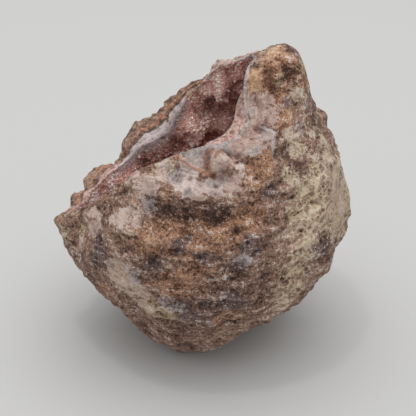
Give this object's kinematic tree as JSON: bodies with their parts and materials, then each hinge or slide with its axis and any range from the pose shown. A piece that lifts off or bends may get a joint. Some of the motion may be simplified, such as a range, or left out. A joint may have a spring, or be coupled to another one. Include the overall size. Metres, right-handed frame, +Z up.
{
  "type": "amethyst geode",
  "caption": "Rounded nodule of rough brown volcanic rock, broken open at its upper left to a deep hollow lined with small rose-brown quartz crystals.",
  "frame": {"origin": "on the resting plane, under the centre of the overall bounding box", "axes": "+Z up, +X to the side of the peak, -X to the side the hollow opens towards, -Y the front"},
  "size_m": [0.093, 0.0826, 0.0966],
  "materials": {
    "rock": "rough, granular and pitted, with chalky and rusty patches and a smooth grey-white layer at the break",
    "rose_crystal": "glossy, clear rose-brown crystal faces on an opaque bed"
  },
  "bodies": {
    "root": {"geode_shell": "rock", "crystal_crust": "rose_crystal"}
  },
  "joints": []
}
